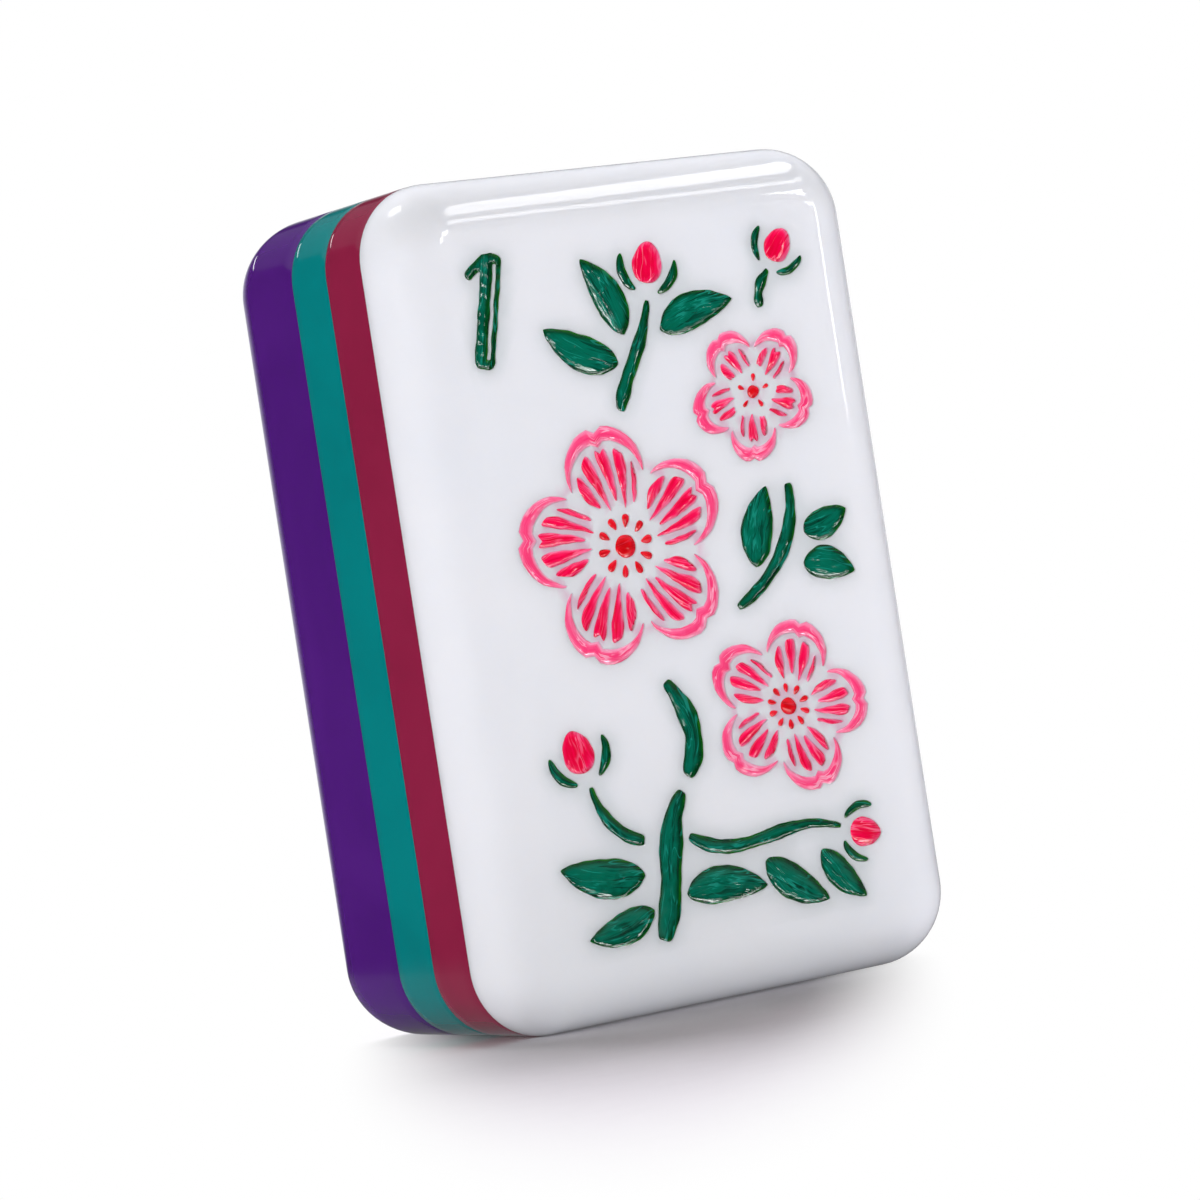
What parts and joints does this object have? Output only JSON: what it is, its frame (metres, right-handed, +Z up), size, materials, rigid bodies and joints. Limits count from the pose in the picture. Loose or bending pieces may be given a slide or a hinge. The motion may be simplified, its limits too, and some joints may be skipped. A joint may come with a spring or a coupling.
{
  "type": "mahjong tile",
  "caption": "Upright rounded mahjong tile laminated from white, burgundy, teal and purple blocks, its face engraved and enamelled with a numeral and a plum-blossom spray.",
  "frame": {"origin": "middle of the bottom end, midway between the face and the back", "axes": "+Z up the height of the tile, the engraved face looks along -Y, +X to the right as the face is read"},
  "size_m": [0.0194, 0.0132, 0.03],
  "materials": {
    "white_acrylic": "polished white acrylic",
    "burgundy_acrylic": "polished burgundy acrylic",
    "teal_acrylic": "polished teal acrylic",
    "purple_acrylic": "polished purple acrylic",
    "green_enamel": "glossy dark green enamel pooled in the engraving",
    "hot_pink_enamel": "glossy hot pink enamel pooled in the engraving",
    "pale_pink_enamel": "glossy pale pink enamel, thin wash",
    "red_enamel": "glossy red enamel pooled in the engraving"
  },
  "bodies": {
    "root": {"face_block": "white_acrylic", "burgundy_layer": "burgundy_acrylic", "teal_layer": "teal_acrylic", "back_block": "purple_acrylic", "numeral_enamel": "green_enamel", "trunk_enamel": "green_enamel", "twigs_enamel": "green_enamel", "lower_leaves_enamel": "green_enamel", "side_leaves_enamel": "green_enamel", "upper_leaves_enamel": "green_enamel", "large_petal_rims": "pale_pink_enamel", "large_petal_strokes": "hot_pink_enamel", "large_blossom_heart": "red_enamel", "middle_petal_rims": "pale_pink_enamel", "middle_petal_strokes": "hot_pink_enamel", "middle_blossom_heart": "red_enamel", "small_petal_rims": "pale_pink_enamel", "small_petal_strokes": "hot_pink_enamel", "small_blossom_heart": "red_enamel", "buds_enamel": "hot_pink_enamel", "bud_cups_enamel": "green_enamel"}
  },
  "joints": []
}
